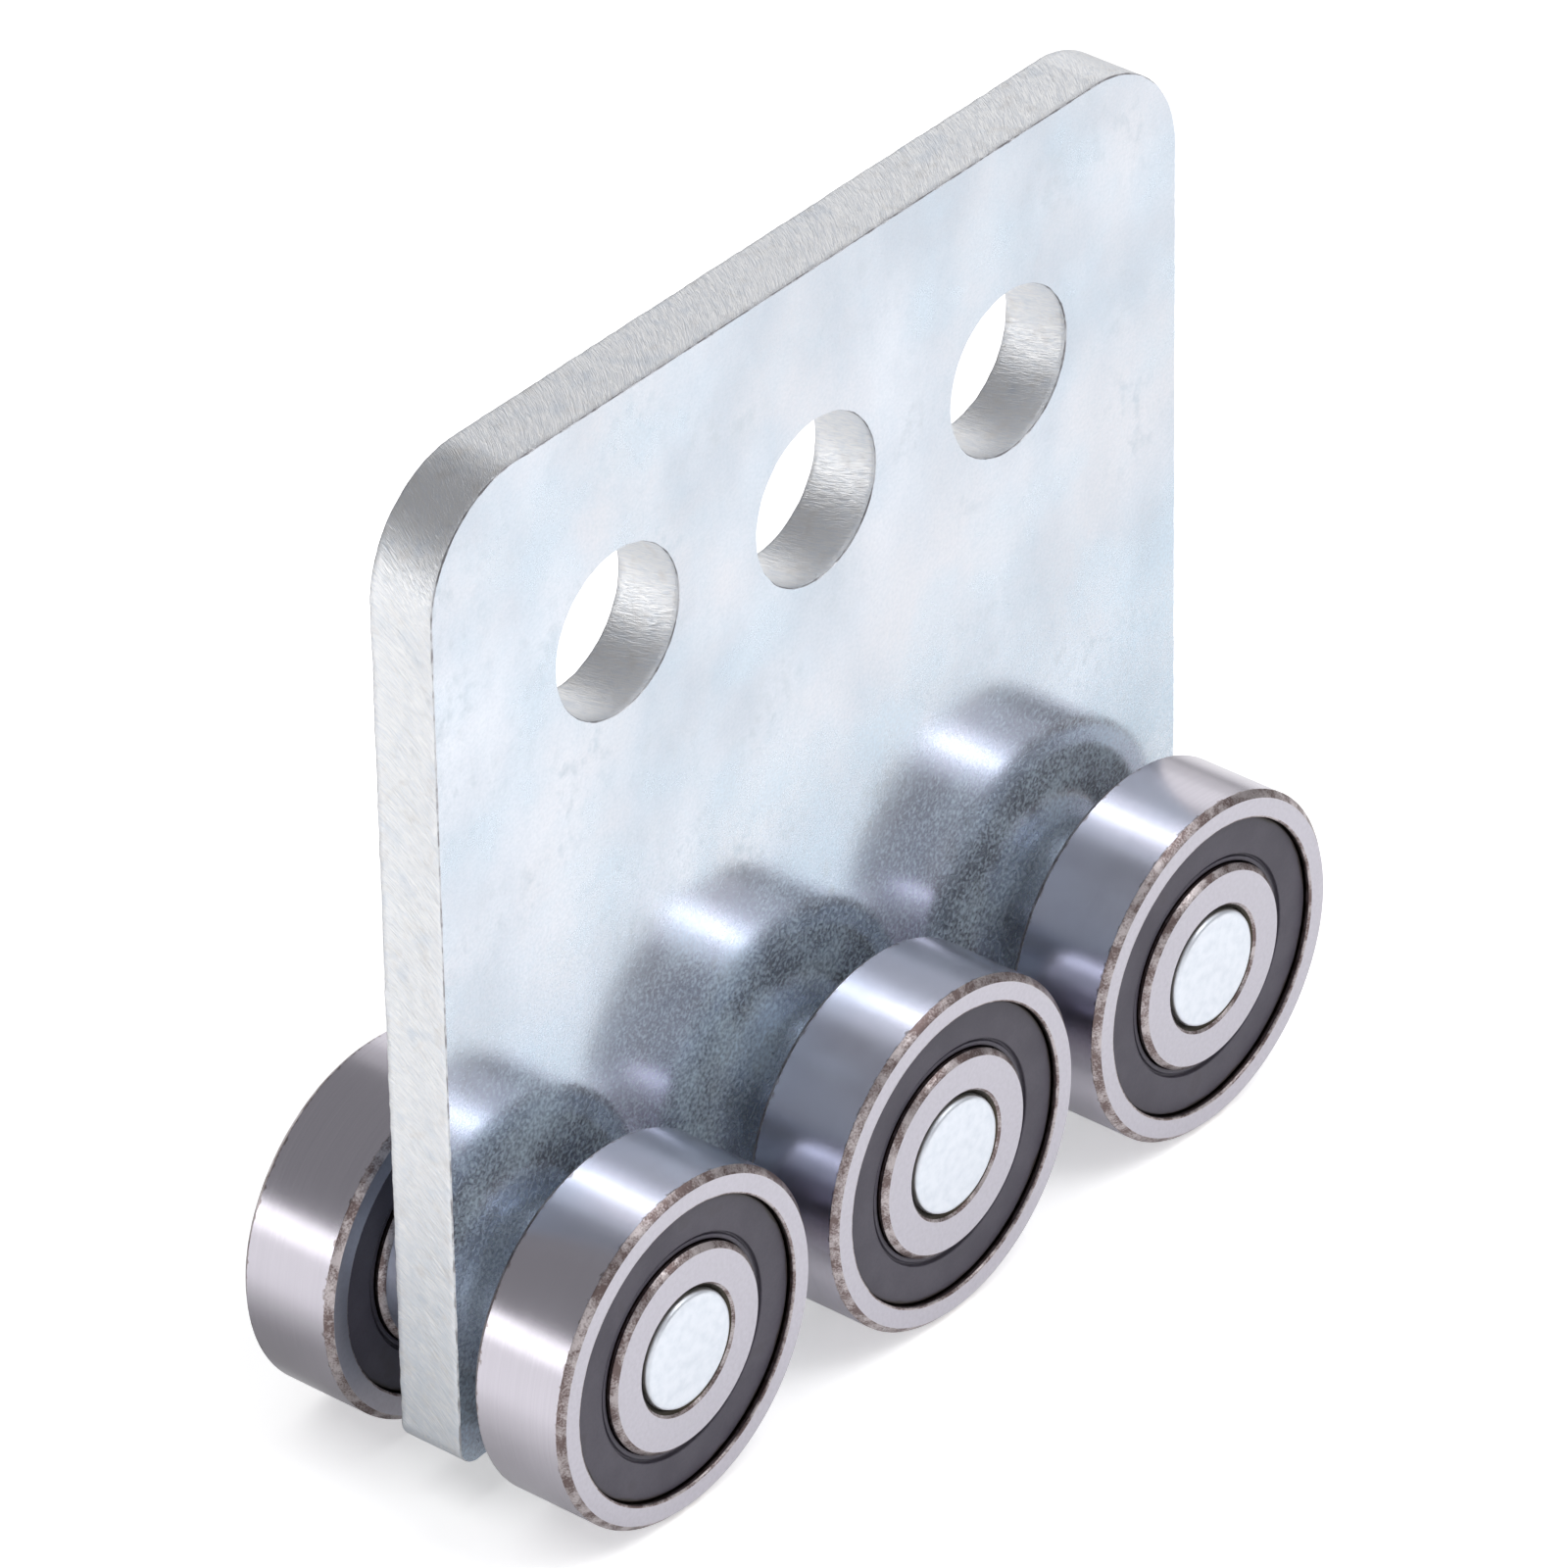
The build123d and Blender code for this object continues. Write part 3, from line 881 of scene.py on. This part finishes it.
aim = Vector((0, 0, 0.03))
softboxes = {
    "frontKey": {"place": (0.136, -0.273, 0.438), "wide": 0.07, "long": 0.40, "glow": 3.3},
    "keyHalo": {"place": (0.136, -0.314, 0.500), "wide": 0.33, "long": 0.46, "glow": 0.85},
    "frontWash": {"place": (0.330, -0.290, 0.360), "wide": 0.36, "long": 0.50, "glow": 0.42},
    "frontFill": {"place": (-0.450, -0.750, 0.250), "wide": 0.50, "long": 0.50, "glow": 0.8},
    "lowStrip": {"place": (-0.500, 0.280, 0.085), "wide": 0.13, "long": 0.35, "glow": 1.85},
    "rearCard": {"place": (0.400, 0.330, 0.350), "wide": 0.40, "long": 0.46, "glow": 0.34},
    "rightFill": {"place": (0.640, 0.280, 0.300), "wide": 0.45, "long": 0.60, "glow": 0.45},
    "floorLeft": {"place": (-0.200, 0.080, 0.480), "wide": 0.35, "long": 0.35, "glow": 2.6, "unseen": True},
    "floorFront": {"place": (0.060, -0.200, 0.450), "wide": 0.22, "long": 0.22, "glow": 4.0, "unseen": True},
}


def addSoftbox(name, look):
    place = Vector(look["place"])
    back = (place - aim).normalized()
    along = (Vector((0, 1, 0)) - back * back.y).normalized()
    across = along.cross(back)
    lamp = bpy.data.lights.new(name, "AREA")
    lamp.shape = "RECTANGLE"
    lamp.size, lamp.size_y = look["wide"], look["long"]
    lamp.energy = look["glow"] * math.pi * look["wide"] * look["long"]
    holder = bpy.data.objects.new(name, lamp)
    holder.matrix_world = Matrix.Translation(place) @ Matrix((across, along, back)).transposed().to_4x4()
    holder.visible_camera = False
    holder.visible_glossy = not look.get("unseen", False)     # an unseen lamp leaves no glint
    bpy.context.scene.collection.objects.link(holder)


for name, look in softboxes.items():
    addSoftbox(name, look)
print("stage lit:", len(softboxes), "softboxes")


# Camera, at the photograph's viewing angle

view = {"place": (-0.622916, -0.518854, 0.580448), "turn": (56.4599, 0.845, -50.7289), "lens": 288.96,
        "sensor": 36, "near": 0.05}
camera = bpy.data.objects.new("camera", bpy.data.cameras.new("camera"))
camera.data.lens = view["lens"]
camera.data.sensor_width = view["sensor"]
camera.data.clip_start = view["near"]
camera.location = view["place"]
camera.rotation_euler = [math.radians(angle) for angle in view["turn"]]
bpy.context.scene.collection.objects.link(camera)
bpy.context.scene.camera = camera
bpy.context.scene.view_settings.view_transform = "Standard"
